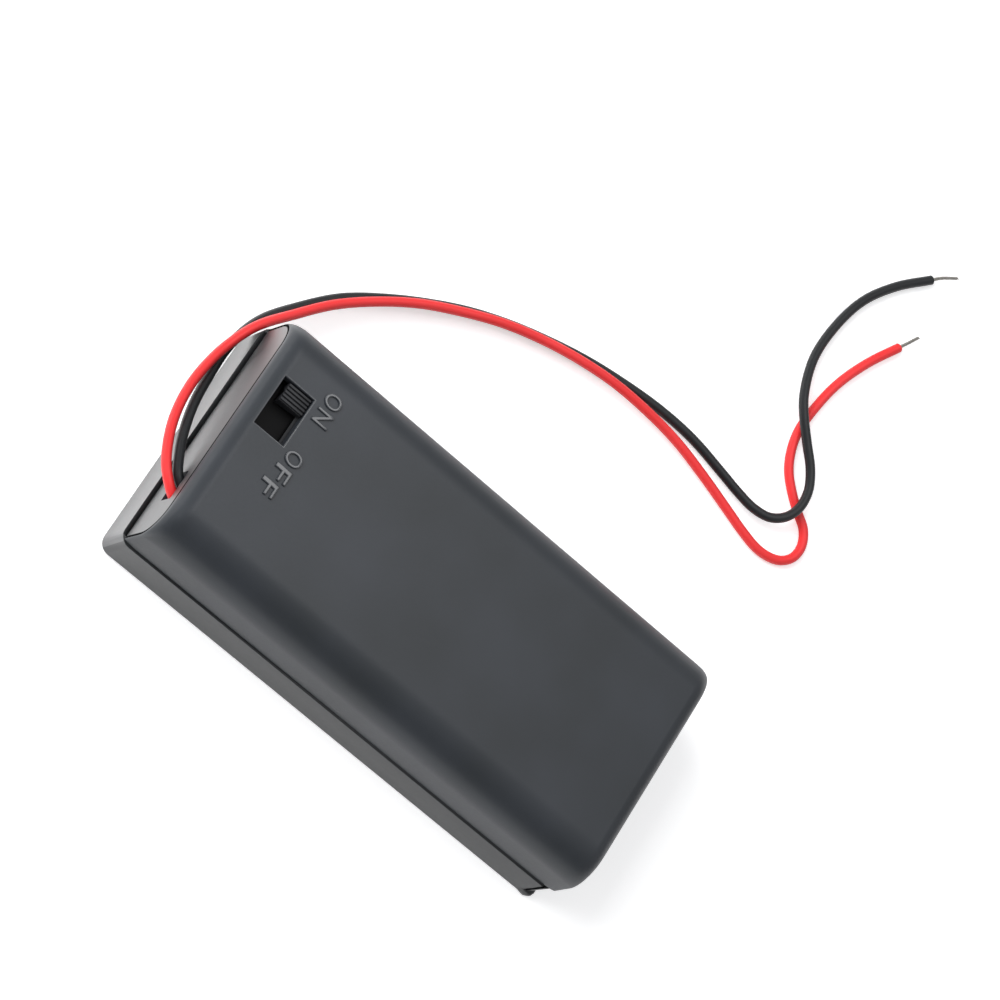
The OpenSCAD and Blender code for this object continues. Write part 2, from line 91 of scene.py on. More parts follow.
def runShape(name, data, tree, values):
    # puts the tree on an object, sets its inputs, and returns the result as a plain mesh object
    source = bpy.data.objects.new(name + "Source", data)
    bpy.context.scene.collection.objects.link(source)
    modifier = source.modifiers.new("shape", "NODES")
    modifier.node_group = tree
    for item in tree.interface.items_tree:
        if item.item_type == "SOCKET" and item.in_out == "INPUT" and item.name in values:
            modifier[item.identifier] = values[item.name]
    graph = bpy.context.evaluated_depsgraph_get()
    mesh = bpy.data.meshes.new_from_object(source.evaluated_get(graph))
    bpy.data.objects.remove(source)
    mesh.name = name
    bm = bmesh.new()
    bm.from_mesh(mesh)
    bmesh.ops.remove_doubles(bm, verts=bm.verts, dist=1e-7)
    bmesh.ops.recalc_face_normals(bm, faces=bm.faces)
    bm.to_mesh(mesh)
    bm.free()
    obj = bpy.data.objects.new(name, mesh)
    bpy.context.scene.collection.objects.link(obj)
    mesh.shade_smooth()
    mesh.set_sharp_from_angle(angle=math.radians(40))
    return obj


# Camera: the photograph's own, worked out from the case's edges
cameraSettings = {
    "place": (-152.07, -184.62, 464.47),  # mm
    "right": (0.72746, 0.50184, 0.46793),
    "down": (0.62021, -0.77264, -0.13557),
    "ahead": (0.2935, 0.38883, -0.87331),
    "lens": 151.18,
}
camData = bpy.data.cameras.new("camera")
cam = bpy.data.objects.new("camera", camData)
bpy.context.scene.collection.objects.link(cam)
camData.sensor_width = 36
camData.lens = cameraSettings["lens"]
camData.clip_start = 0.02
camData.clip_end = 20
right = Vector(cameraSettings["right"])
up = -Vector(cameraSettings["down"])
back = -Vector(cameraSettings["ahead"])
turn = Matrix((right, up, back)).transposed().to_4x4()
cam.matrix_world = Matrix.Translation(Vector(cameraSettings["place"]) * mm) @ turn
bpy.context.scene.camera = cam
print("camera set")


# Leads: soft PVC hook-up wire, bare and tinned at the far end
leads = {
    "diameter": 1.3,      # over the insulation
    "stepsPerPoint": 6,   # how finely the line between two route points is drawn
    "sides": 20,
    "strand": 0.16,       # one tinned copper strand
    "strandCount": 7,
    "strandTwist": 0.9,   # turns of the strands over the bare end
    "strandLay": 1.02,    # distance of the outer strands from the middle one, in strands
    "endRound": 0.08,     # rounding of the insulation's cut ends
    "staysDown": (-20, 38, 0),  # up to here a lead stays on the table when the case is lifted
    "liftsOff": (-36, -6, 0),   # and from here it goes up with the case
}
redRoute = [
    (-34.2, -10.4, 11.7), (-35.5, -9.5, 11.8), (-37.2, -7.7, 11.6), (-38.5, -4.9, 10.8),
    (-39.3, -1.5, 9.6), (-39.6, 2, 8.6), (-39.4, 5.7, 7.6), (-38.4, 10.8, 6.5), (-36.6, 15.8, 6.2),
    (-33.1, 21, 5.1), (-29.4, 25.9, 4.1), (-25, 30.3, 3.3), (-20.1, 34.2, 2.9), (-15, 37.3, 2.5),
    (-9.5, 40, 2.4), (-3.9, 42, 2.2), (1.8, 43.4, 2.1), (7.7, 44.3, 1.9), (13.6, 44.5, 1.6),
    (19.5, 44.2, 1.2), (25.4, 43.1, 0.9), (31.1, 41.7, 0.7), (34.1, 40.9, 0.7), (36.9, 40.4, 0.7),
    (39.1, 40.6, 0.7), (40.9, 41.4, 0.7), (42.1, 42.9, 0.7), (42.3, 44.9, 0.7), (41.3, 46.9, 0.7),
    (39.3, 48.3, 0.7), (37.1, 50, 0.7), (35.2, 52, 0.7), (34, 54.4, 0.7), (33.4, 57.2, 0.7),
    (33.5, 60.3, 0.7), (34.5, 66.1, 0.7), (36.6, 71.7, 0.7), (39.4, 76.9, 0.7)]
blackRoute = [
    (-34.2, -8.6, 11.7), (-35.4, -7.65, 11.6), (-36.4, -5.5, 10.9), (-37.2, -2.6, 9.7),
    (-37.8, 2.2, 7.7), (-37.8, 7.3, 5.9), (-37.5, 12.5, 4.5), (-35.9, 18.1, 3.3), (-32.4, 23.5, 2.4),
    (-28.5, 28.3, 1.8), (-23.8, 32.3, 1.3), (-18.8, 35.8, 1), (-13.5, 38.9, 0.8), (-8.1, 41.3, 0.7),
    (-2.4, 43.2, 0.7), (3.4, 44.7, 0.7), (9.3, 45.7, 0.7), (15.2, 46.3, 0.7), (21.2, 46.2, 0.8),
    (27.1, 45.2, 1), (30.5, 44.5, 1.2), (33.4, 44.1, 1.5), (35.9, 44.5, 1.8), (37.7, 46, 2.1),
    (38.6, 48.3, 2.2), (38.4, 51, 2.2), (37, 53.6, 2.2), (34.7, 56.1, 2.2), (32.5, 58.6, 2.2),
    (30.9, 61.3, 1.9), (29.6, 66.7, 1.2), (29.9, 72.6, 0.9), (31.4, 78.4, 0.8), (34.4, 83.5, 0.7),
    (38.3, 88, 0.7)]
redInside = [
    (-31.6, 8.2, 7.7), (-32.1, 6.5, 6.9), (-32.4, 4, 6.2), (-32.5, 0, 5.9), (-32.6, -4.5, 5.9),
    (-32.6, -8.4, 6.2), (-32.4, -10.4, 7.1), (-32.2, -11.6, 8.4), (-32.2, -12, 9.9),
    (-32.6, -11.6, 11.1), (-33.29, -11.03, 11.63), (-34.2, -10.4, 11.7)]
blackInside = [
    (-27.6, -7.8, 5.9), (-28.3, -8.1, 6.3), (-28.9, -8.7, 7.1), (-29.5, -9.3, 8.2), (-30.3, -9.8, 9.5),
    (-31.3, -10.1, 10.7), (-32.3, -10, 11.5), (-33.32, -9.4, 11.78), (-34.2, -8.6, 11.7)]
linkInside = [
    (-27.5, 7.5, 5.9), (-28.3, 6.9, 6.4), (-29.1, 6.1, 7.1), (-29.6, 5.4, 7.8)]
redEnd = [
    (39.4, 76.9, 0.7), (40.3, 78.57, 0.7), (41.1, 80.1, 0.6)]
blackEnd = [
    (38.3, 88, 0.7), (39.3, 89.15, 0.7), (41.5, 91, 0.6)]


def smoothLine(points, steps):
    # centripetal Catmull-Rom through the points
    p = [Vector(q) for q in points]
    p = [p[0] * 2 - p[1]] + p + [p[-1] * 2 - p[-2]]
    out = []
    for i in range(1, len(p) - 2):
        a, b, c, d = p[i - 1], p[i], p[i + 1], p[i + 2]
        t0 = 0.0
        t1 = t0 + max((b - a).length, 1e-9) ** 0.5
        t2 = t1 + max((c - b).length, 1e-9) ** 0.5
        t3 = t2 + max((d - c).length, 1e-9) ** 0.5
        for k in range(steps):
            t = t1 + (t2 - t1) * k / steps
            a1 = a * ((t1 - t) / (t1 - t0)) + b * ((t - t0) / (t1 - t0))
            a2 = b * ((t2 - t) / (t2 - t1)) + c * ((t - t1) / (t2 - t1))
            a3 = c * ((t3 - t) / (t3 - t2)) + d * ((t - t2) / (t3 - t2))
            b1 = a1 * ((t2 - t) / (t2 - t0)) + a2 * ((t - t0) / (t2 - t0))
            b2 = a2 * ((t3 - t) / (t3 - t1)) + a3 * ((t - t1) / (t3 - t1))
            out.append(b1 * ((t2 - t) / (t2 - t1)) + b2 * ((t - t1) / (t2 - t1)))
    out.append(p[-2].copy())
    return out


def lineFrames(line):
    # tangent and two normals at each point, carried along without twist
    frames = []
    normal = None
    for i, q in enumerate(line):
        t = (line[min(i + 1, len(line) - 1)] - line[max(i - 1, 0)]).normalized()
        if normal is None:
            side = t.cross(Vector((0, 0, 1)))
            normal = (side if side.length > 0.1 else t.cross(Vector((1, 0, 0)))).normalized()
        else:
            normal = (normal - t * normal.dot(t)).normalized()
        frames.append((q, t, normal, t.cross(normal)))
    return frames


def sweepInto(bm, line, radius, sides, roundEnd=0.0):
    # adds one closed tube to bm, its edge at each end drawn in by roundEnd
    rings = []
    frames = lineFrames(line)
    rows = [(f, radius) for f in frames]
    if roundEnd:
        q, t, u, v = frames[0]
        rows[0] = ((q + t * roundEnd, t, u, v), radius)
        rows.insert(0, ((q, t, u, v), radius - roundEnd))
        q, t, u, v = frames[-1]
        rows[-1] = ((q - t * roundEnd, t, u, v), radius)
        rows.append(((q, t, u, v), radius - roundEnd))
    for (q, t, u, v), r in rows:
        ring = []
        for k in range(sides):
            a = 2 * math.pi * k / sides
            ring.append(bm.verts.new((q + (u * math.cos(a) + v * math.sin(a)) * r) * mm))
        rings.append(ring)
    for a, b in zip(rings, rings[1:]):
        for k in range(sides):
            bm.faces.new((a[k], a[(k + 1) % sides], b[(k + 1) % sides], b[k]))
    bm.faces.new(list(reversed(rings[0])))
    bm.faces.new(rings[-1])


def pieceFrom(bm, name, material, smoothAngle=35):
    mesh = bpy.data.meshes.new(name)
    bm.normal_update()
    bm.to_mesh(mesh)
    bm.free()
    obj = bpy.data.objects.new(name, mesh)
    bpy.context.scene.collection.objects.link(obj)
    mesh.materials.append(material)
    mesh.shade_smooth()
    mesh.set_sharp_from_angle(angle=math.radians(smoothAngle))
    return obj


def pvcMaterial(name, colour, shade, rough):
    # plasticised PVC, extruded: an even soft gloss, with the drag marks of the die too fine to see
    mat, tree = newMaterial(name)
    coord = addNode(tree, "ShaderNodeTexCoord")
    # grain 0.5 mm, drawn coarser than the real surface so that it shows
    noise = addNode(tree, "ShaderNodeTexNoise", {"Scale": 1 / (0.5 * mm), "Detail": 3.0},
                    {"Vector": coord.outputs["Object"]})
    wide = addNode(tree, "ShaderNodeTexNoise", {"Scale": 1 / (9 * mm), "Detail": 1.0},
                   {"Vector": coord.outputs["Object"]})
    tone = addNode(tree, "ShaderNodeValToRGB", None, {"Fac": wide.outputs["Fac"]})
    tone.color_ramp.elements[0].position = 0.35
    tone.color_ramp.elements[0].color = hexColour(shade)
    tone.color_ramp.elements[1].position = 0.65
    tone.color_ramp.elements[1].color = hexColour(colour)
    gloss = addNode(tree, "ShaderNodeMapRange", {"To Min": rough - 0.05, "To Max": rough + 0.07},
                    {"Value": noise.outputs["Fac"]})
    bump = addNode(tree, "ShaderNodeBump", {"Strength": 0.15, "Distance": 0.02 * mm},
                   {"Height": noise.outputs["Fac"]})
    shader = addNode(tree, "ShaderNodeBsdfPrincipled", {"IOR": 1.52},
                     {"Base Color": tone.outputs["Color"], "Roughness": gloss.outputs["Result"],
                      "Normal": bump.outputs["Normal"]})
    addNode(tree, "ShaderNodeOutputMaterial", None, {"Surface": shader.outputs["BSDF"]})
    return mat


redPvc = pvcMaterial("redPvcInsulation", "#fb383a", "#f53234", 0.42)
blackPvc = pvcMaterial("blackPvcInsulation", "#212325", "#1d1f21", 0.42)


def leadPiece(name, route, material, nodeName, free=False):
    line = smoothLine(route, leads["stepsPerPoint"])
    bm = bmesh.new()
    sweepInto(bm, line, leads["diameter"] / 2, leads["sides"], leads["endRound"])
    obj = pieceFrom(bm, name, material)
    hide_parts(nodeName)
    if free:
        # the stretch on the table stays down when the case is lifted off its lid
        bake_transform(obj)
    else:
        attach(obj, "case")


def tinMaterial():
    # tinned copper: a soft grey metal, dull where the strands were dipped
    mat, tree = newMaterial("tinnedCopper")
    coord = addNode(tree, "ShaderNodeTexCoord")
    noise = addNode(tree, "ShaderNodeTexNoise", {"Scale": 1 / (0.3 * mm), "Detail": 4.0},
                    {"Vector": coord.outputs["Object"]})
    tone = addNode(tree, "ShaderNodeValToRGB", None, {"Fac": noise.outputs["Fac"]})
    tone.color_ramp.elements[0].color = hexColour("#8f8a83")
    tone.color_ramp.elements[1].color = hexColour("#d9d6d0")
    shader = addNode(tree, "ShaderNodeBsdfPrincipled", {"Metallic": 1.0, "Roughness": 0.32},
                     {"Base Color": tone.outputs["Color"]})
    addNode(tree, "ShaderNodeOutputMaterial", None, {"Surface": shader.outputs["BSDF"]})
    return mat


tinned = tinMaterial()


def strandTree(material):
    # copies of the centre line laid round it with a twist, each swept with a round section
    tree, start, end = newShape("strandedEnd", {"Strands": 6, "Lay radius": 0.0, "Twist": 0.0,
                                                "Strand radius": 0.0, "Flare": 0.0})
    copies = addNode(tree, "GeometryNodeDuplicateElements", {"domain": "SPLINE"},
                     {"Geometry": start.outputs["Geometry"], "Amount": start.outputs["Strands"]})
    share = addNode(tree, "ShaderNodeMath", {"operation": "DIVIDE"},
                    {0: copies.outputs["Duplicate Index"], 1: start.outputs["Strands"]})
    along = addNode(tree, "GeometryNodeSplineParameter")
    turned = addNode(tree, "ShaderNodeMath", {"operation": "MULTIPLY_ADD"},
                     {0: along.outputs["Factor"], 1: start.outputs["Twist"], 2: share.outputs[0]})
    angle = addNode(tree, "ShaderNodeMath", {"operation": "MULTIPLY", 1: 2 * math.pi}, {0: turned.outputs[0]})
    spread = addNode(tree, "ShaderNodeMath", {"operation": "MULTIPLY_ADD", 2: 1.0},
                     {0: along.outputs["Factor"], 1: start.outputs["Flare"]})
    reach = addNode(tree, "ShaderNodeMath", {"operation": "MULTIPLY"},
                    {0: spread.outputs[0], 1: start.outputs["Lay radius"]})
    normal = addNode(tree, "GeometryNodeInputNormal")
    tangent = addNode(tree, "GeometryNodeInputTangent")
    turn = addNode(tree, "ShaderNodeVectorRotate", {"rotation_type": "AXIS_ANGLE"},
                   {"Vector": normal.outputs["Normal"], "Axis": tangent.outputs["Tangent"],
                    "Angle": angle.outputs[0]})
    offset = addNode(tree, "ShaderNodeVectorMath", {"operation": "SCALE"},
                     {"Vector": turn.outputs["Vector"], "Scale": reach.outputs[0]})
    moved = addNode(tree, "GeometryNodeSetPosition", None,
                    {"Geometry": copies.outputs["Geometry"], "Offset": offset.outputs["Vector"]})
    # the strands stop at three slightly different lengths
    third = addNode(tree, "ShaderNodeMath", {"operation": "MODULO", 1: 3.0},
                    {0: copies.outputs["Duplicate Index"]})
    stop = addNode(tree, "ShaderNodeMath", {"operation": "MULTIPLY_ADD", 1: -0.05, 2: 1.0},
                   {0: third.outputs[0]})
    kept = addNode(tree, "GeometryNodeTrimCurve", {"mode": "FACTOR"},
                   {"Curve": moved.outputs["Geometry"], "End": stop.outputs[0]})
    # one straight strand stays in the middle
    both = addNode(tree, "GeometryNodeJoinGeometry")
    tree.links.new(start.outputs["Geometry"], both.inputs[0])
    tree.links.new(kept.outputs["Curve"], both.inputs[0])
    section = addNode(tree, "GeometryNodeCurvePrimitiveCircle", {"Resolution": 10},
                      {"Radius": start.outputs["Strand radius"]})
    swept = addNode(tree, "GeometryNodeCurveToMesh", {"Fill Caps": True},
                    {"Curve": both.outputs["Geometry"], "Profile Curve": section.outputs["Curve"]})
    real = addNode(tree, "GeometryNodeRealizeInstances", None, {"Geometry": swept.outputs["Mesh"]})
    clad = addNode(tree, "GeometryNodeSetMaterial", {"Material": material},
                   {"Geometry": real.outputs["Geometry"]})
    tree.links.new(clad.outputs["Geometry"], end.inputs["Geometry"])
    return tree


strandShape = strandTree(tinned)


def strandPiece(name, route, nodeName):
    line = smoothLine(route, 10)
    data = bpy.data.curves.new(name + "Line", "CURVE")
    data.dimensions = "3D"
    spline = data.splines.new("POLY")
    spline.points.add(len(line) - 1)
    for point, q in zip(spline.points, line):
        point.co = (*(q * mm), 1)
    obj = runShape(name, data, strandShape, {
        "Strands": leads["strandCount"] - 1, "Lay radius": leads["strand"] * leads["strandLay"] * mm,
        "Twist": leads["strandTwist"], "Strand radius": leads["strand"] / 2 * mm, "Flare": -0.12})
    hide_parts(nodeName)
    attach(obj, "lid")


strandPiece("red_tipStrands", redEnd, "red_tip")
strandPiece("black_tipStrands", blackEnd, "black_tip")
leadPiece("redLead", redRoute, redPvc, "red_lead", free=True)
leadPiece("blackLead", blackRoute, blackPvc, "black_lead", free=True)
leadPiece("redLeadInside", redInside, redPvc, "red_inner_lead")
leadPiece("blackLeadInside", blackInside, blackPvc, "black_inner_lead")
leadPiece("linkLead", linkInside, redPvc, "link_lead")
print("leads made")


# Case: moulded black ABS, a fine spark-eroded grain on the top, polished ends
endPanel = {
    "cornerRadius": 4.01,  # of the panel's outline, mm
    "halfWidth": 16.39,
    "top": 15.0,
    # the next two give where the painted crease shade begins and where it is full
    "creaseShadeFrom": 0.42,    # the crease begins and is full this far inside the outline
    "creaseShadeTo": 0.28,
}


def creaseShadeLine(tree, coord, colour):
    # painted shade: the polished end panel gets a dark line along its rounded outline, standing in for the
    # shadow in a fine crease that the mesh doesn't have
    place = addNode(tree, "ShaderNodeSeparateXYZ", None, {"Vector": coord.outputs["Object"]})
    r, halfWidth, top = (endPanel[key] * mm for key in ("cornerRadius", "halfWidth", "top"))
    across = addNode(tree, "ShaderNodeMath", {"operation": "ABSOLUTE"}, {0: place.outputs["Y"]})
    side = addNode(tree, "ShaderNodeMath", {"operation": "SUBTRACT", 1: halfWidth - r}, {0: across.outputs[0]})
    above = addNode(tree, "ShaderNodeMath", {"operation": "SUBTRACT", 1: top - r}, {0: place.outputs["Z"]})
    outY = addNode(tree, "ShaderNodeMath", {"operation": "MAXIMUM", 1: 0.0}, {0: side.outputs[0]})
    outZ = addNode(tree, "ShaderNodeMath", {"operation": "MAXIMUM", 1: 0.0}, {0: above.outputs[0]})
    corner = addNode(tree, "ShaderNodeCombineXYZ", None, {"X": outY.outputs[0], "Y": outZ.outputs[0]})
    far = addNode(tree, "ShaderNodeVectorMath", {"operation": "LENGTH"}, {0: corner.outputs[0]})
    line = addNode(tree, "ShaderNodeMapRange", {"From Min": r - endPanel["creaseShadeFrom"] * mm,
                                                "From Max": r - endPanel["creaseShadeTo"] * mm},
                   {"Value": far.outputs["Value"]})
    creaseShadeTint = addNode(tree, "ShaderNodeMix", {"data_type": "RGBA", 7: hexColour("#0b0b0c")},
                   {0: line.outputs["Result"], 6: colour})
    return line.outputs["Result"], creaseShadeTint.outputs[2]


def absMaterial(name, colour, shade, rough, grain, bumpHeight, coat, ior=1.54, paintCreaseShade=False):
    # moulded ABS: grain size and bump height in mm give the mould's finish, coat the polished skin
    mat, tree = newMaterial(name)
    coord = addNode(tree, "ShaderNodeTexCoord")
    # drawn a little coarser than real so that it shows
    fine = addNode(tree, "ShaderNodeTexNoise", {"Scale": 1 / (grain * mm), "Detail": 2.0, "Roughness": 0.6},
                   {"Vector": coord.outputs["Object"]})
    cloud = addNode(tree, "ShaderNodeTexNoise", {"Scale": 1 / (14 * mm), "Detail": 2.0},
                    {"Vector": coord.outputs["Object"]})
    tone = addNode(tree, "ShaderNodeValToRGB", None, {"Fac": cloud.outputs["Fac"]})
    tone.color_ramp.elements[0].position = 0.3
    tone.color_ramp.elements[0].color = hexColour(shade)
    tone.color_ramp.elements[1].position = 0.7
    tone.color_ramp.elements[1].color = hexColour(colour)
    gloss = addNode(tree, "ShaderNodeMapRange", {"To Min": rough - 0.04, "To Max": rough + 0.05},
                    {"Value": fine.outputs["Fac"]})
    bump = addNode(tree, "ShaderNodeBump", {"Strength": 0.5, "Distance": bumpHeight * mm},
                   {"Height": fine.outputs["Fac"]})
    base, rough = tone.outputs["Color"], gloss.outputs["Result"]
    shader = addNode(tree, "ShaderNodeBsdfPrincipled",
                     {"IOR": ior, "Coat Weight": coat, "Coat Roughness": 0.4, "Coat IOR": 1.6})
    surface = shader.outputs["BSDF"]
    if paintCreaseShade:
        # painted shade: along the crease line the panel's colour is darkened and mixed with a dull dark
        # diffuse
        line, base = creaseShadeLine(tree, coord, base)
        shadow = addNode(tree, "ShaderNodeBsdfDiffuse", {"Color": hexColour("#1c1d1e")})
        mixed = addNode(tree, "ShaderNodeMixShader", None, {0: line, 1: surface, 2: shadow.outputs[0]})
        surface = mixed.outputs[0]
    tree.links.new(base, shader.inputs["Base Color"])
    tree.links.new(rough, shader.inputs["Roughness"])
    tree.links.new(bump.outputs["Normal"], shader.inputs["Normal"])
    addNode(tree, "ShaderNodeOutputMaterial", None, {"Surface": surface})
    return mat


caseGrain = absMaterial("grainedBlackAbs", "#33373d", "#2b2f33", 0.4, 0.35, 0.016, 0.0)
markAbs = absMaterial("raisedMarkAbs", "#33373c", "#303339", 0.16, 0.35, 0.003, 0.5, ior=1.9)
# the polished end panels carry the painted crease shade along their outline
casePolished = absMaterial("polishedBlackAbs", "#323436", "#2f3133", 0.54, 0.8, 0.003, 0.85,
                           ior=1.75, paintCreaseShade=True)
lidPolished = absMaterial("polishedLidAbs", "#323436", "#2f3133", 0.34, 0.8, 0.003, 0.8)
lidAbs = absMaterial("smoothBlackAbs", "#323435", "#2e3031", 0.4, 0.6, 0.005, 0.25)
knobAbs = absMaterial("knobBlackAbs", "#2a2b2e", "#252629", 0.5, 0.3, 0.006, 0.0)
# painted shade: a much darker, less reflective copy of the knob's material for its carrier, which lies in the
# shade of the pocket
carrierShadeAbs = absMaterial("carrierPaintedShadeAbs", "#0c0c0d", "#0a0a0b", 0.6, 0.3, 0.006, 0.0, ior=1.3)


def copyOfNode(nodeName, name):
    # the CAD mesh is loose triangles: a copy is joined up before it is smoothed
    src = bpy.data.objects[nodeName]
    bm = bmesh.new()
    bm.from_mesh(src.data)
    bmesh.ops.remove_doubles(bm, verts=bm.verts, dist=2e-6)
    bmesh.ops.dissolve_degenerate(bm, edges=bm.edges, dist=1e-7)
    mesh = bpy.data.meshes.new(name)
    bm.to_mesh(mesh)
    bm.free()
    obj = bpy.data.objects.new(name, mesh)
    bpy.context.scene.collection.objects.link(obj)
    return obj


def bakeModifiers(obj):
    graph = bpy.context.evaluated_depsgraph_get()
    mesh = bpy.data.meshes.new_from_object(obj.evaluated_get(graph))
    obj.modifiers.clear()
    obj.data = mesh
    return obj


def softenCopy(obj, angle):
    obj.data.shade_smooth()
    obj.data.set_sharp_from_angle(angle=math.radians(angle))
    weighted = obj.modifiers.new("weighted", "WEIGHTED_NORMAL")
    weighted.keep_sharp = True
    weighted.weight = 90
    bakeModifiers(obj)


case = {
    "wireEnd": -34.8,      # x of the polished end face
    "farEnd": 35.55,
    "top": 17.2,
    "markHeight": 2.45,    # cap height of the raised marks
    "markRise": 0.34,
    "markRound": 0.14,     # radius along the marks' edges
    "markStroke": -0.06,   # how much the marks' outline is moved before that
    "markWidth": 2.0,
    "markLift": 0.02,      # height of the marks' middle over the top face
    "rim": 0.16,           # rounding of the switch opening's edge
    "opening": (-33.2, -27.8, 1.2, 9.1),  # x and y limits within which its edges lie
    "lidEnd": -34.9,       # the lid's polished wall lies beyond this x
    "carrierTop": 15.6,    # below this height the knob's node is its carrier
    "knobRound": 0.05,
    "smoothBelow": 32,     # degrees between faces that are shaded as one
}

caseShell = copyOfNode("case_body", "caseShell")
caseShell.data.materials.append(caseGrain)
caseShell.data.materials.append(casePolished)
caseShell.data.materials.append(markAbs)
for poly in caseShell.data.polygons:
    if poly.normal.x < -0.99 and poly.center.x < (case["wireEnd"] + 0.05) * mm:
        poly.material_index = 1
    elif poly.normal.x > 0.99 and poly.center.x > (case["farEnd"] - 0.35) * mm:
        poly.material_index = 1


def roundRim(obj, x0, x1, y0, y1, z, width):
    # rounds the edges of an opening that lie in the plane z and inside the given box
    bm = bmesh.new()
    bm.from_mesh(obj.data)
    bmesh.ops.dissolve_limit(bm, angle_limit=math.radians(0.5), verts=bm.verts, edges=bm.edges,
                             delimit={"MATERIAL"})
    rim = []
    for edge in bm.edges:
        a, b = edge.verts[0].co / mm, edge.verts[1].co / mm
        if all(abs(q.z - z) < 0.03 and x0 < q.x < x1 and y0 < q.y < y1 for q in (a, b)) \
                and edge.is_manifold and edge.calc_face_angle(0) > 1:
            rim.append(edge)
    bmesh.ops.bevel(bm, geom=rim, offset=width * mm, segments=3, affect="EDGES", profile=0.5,
                     material=2)
    bm.to_mesh(obj.data)
    bm.free()
    print("edges rounded at the opening", len(rim))


roundRim(caseShell, *case["opening"], case["top"], case["rim"])
softenCopy(caseShell, case["smoothBelow"])
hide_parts("case_body")
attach(caseShell, "case")

lidShell = copyOfNode("battery_lid", "lidShell")
lidShell.data.materials.append(lidAbs)
lidShell.data.materials.append(lidPolished)
for poly in lidShell.data.polygons:
    if poly.normal.x < -0.7 and poly.center.x < case["lidEnd"] * mm:
        poly.material_index = 1
softenCopy(lidShell, case["smoothBelow"])
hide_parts("battery_lid")
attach(lidShell, "lid")
print("case and lid made")


# Raised marks beside the switch: they read from the outlet end, tops toward the far end
marks = [
    # letter, x, y of its middle
    ("O", -26.15, 10.0), ("N", -26.15, 7.5),
    ("O", -26.25, 1.05), ("F", -26.55, -1.4), ("F", -27.0, -3.8),
]


def letterMesh(letter):
    data = bpy.data.curves.new("letter", "FONT")
    data.body = letter
    data.size = case["markHeight"] / 0.7 * mm
    data.align_x = "CENTER"
    data.extrude = max(0.0, case["markRise"] - case["markRound"]) * mm / 2
    data.offset = case["markStroke"] * mm
    data.bevel_depth = case["markRound"] * mm
    data.bevel_resolution = 3
    data.resolution_u = 6
    obj = bpy.data.objects.new("letter", data)
    bpy.context.scene.collection.objects.link(obj)
    graph = bpy.context.evaluated_depsgraph_get()
    mesh = bpy.data.meshes.new_from_object(obj.evaluated_get(graph))
    bpy.data.objects.remove(obj)
    return mesh


bm = bmesh.new()
for letter, x, y in marks:
    mesh = letterMesh(letter)
    xs = [v.co.x for v in mesh.vertices]
    ys = [v.co.y for v in mesh.vertices]
    centre = Matrix.Translation(Vector((-(min(xs) + max(xs)) / 2, -(min(ys) + max(ys)) / 2, 0)))
    wide = Matrix.Diagonal((case["markWidth"] * mm / (max(xs) - min(xs)),
                            case["markHeight"] * mm / (max(ys) - min(ys)), 1, 1))
    turned = Matrix.Rotation(math.radians(-90), 4, "Z")
    place = Matrix.Translation(Vector((x, y, case["top"] + case["markLift"])) * mm)
    mesh.transform(place @ turned @ wide @ centre)
    bm.from_mesh(mesh)
bmesh.ops.remove_doubles(bm, verts=bm.verts, dist=1e-6)
raisedMarks = pieceFrom(bm, "raisedMarks", markAbs, 40)
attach(raisedMarks, "case")
print("marks made")


# Switch
knob = copyOfNode("switch_knob", "slideKnob")
knob.data.materials.append(knobAbs)
knob.data.materials.append(carrierShadeAbs)
# painted shade: below the carrier's top the knob gets the darker copy of its material
for poly in knob.data.polygons:
    if poly.center.z < case["carrierTop"] * mm:
        poly.material_index = 1
bevel = knob.modifiers.new("bevel", "BEVEL")
bevel.width = case["knobRound"] * mm
bevel.segments = 2
bevel.limit_method = "ANGLE"
bevel.angle_limit = math.radians(60)
bakeModifiers(knob)
softenCopy(knob, 35)
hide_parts("switch_knob")
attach(knob, "knob")


def metalMaterial(name, colour, shade, rough, scratch):
    mat, tree = newMaterial(name)
    coord = addNode(tree, "ShaderNodeTexCoord")
    lines = addNode(tree, "ShaderNodeMapping", {"Scale": (1, 12, 12)}, {"Vector": coord.outputs["Object"]})
    noise = addNode(tree, "ShaderNodeTexNoise", {"Scale": 1 / (scratch * mm), "Detail": 4.0},
                    {"Vector": lines.outputs["Vector"]})
    tone = addNode(tree, "ShaderNodeValToRGB", None, {"Fac": noise.outputs["Fac"]})
    tone.color_ramp.elements[0].color = hexColour(shade)
    tone.color_ramp.elements[1].color = hexColour(colour)
    gloss = addNode(tree, "ShaderNodeMapRange", {"To Min": rough - 0.08, "To Max": rough + 0.1},
                    {"Value": noise.outputs["Fac"]})
    shader = addNode(tree, "ShaderNodeBsdfPrincipled", {"Metallic": 1.0},
                     {"Base Color": tone.outputs["Color"], "Roughness": gloss.outputs["Result"]})
    addNode(tree, "ShaderNodeOutputMaterial", None, {"Surface": shader.outputs["BSDF"]})
    return mat


# rolled brass, warm and a little streaky; nickel plate, bright and yellowish grey; drawn wire
brass = metalMaterial("rolledBrass", "#d9b36a", "#b98f48", 0.3, 3.0)
nickel = metalMaterial("nickelPlatedSteel", "#cfccc4", "#b3b0a8", 0.24, 4.0)
springSteel = metalMaterial("drawnSpringWire", "#c9c8c4", "#a5a4a0", 0.28, 2.0)
solderMetal = metalMaterial("solder", "#d6d7d8", "#b0b2b4", 0.2, 1.0)


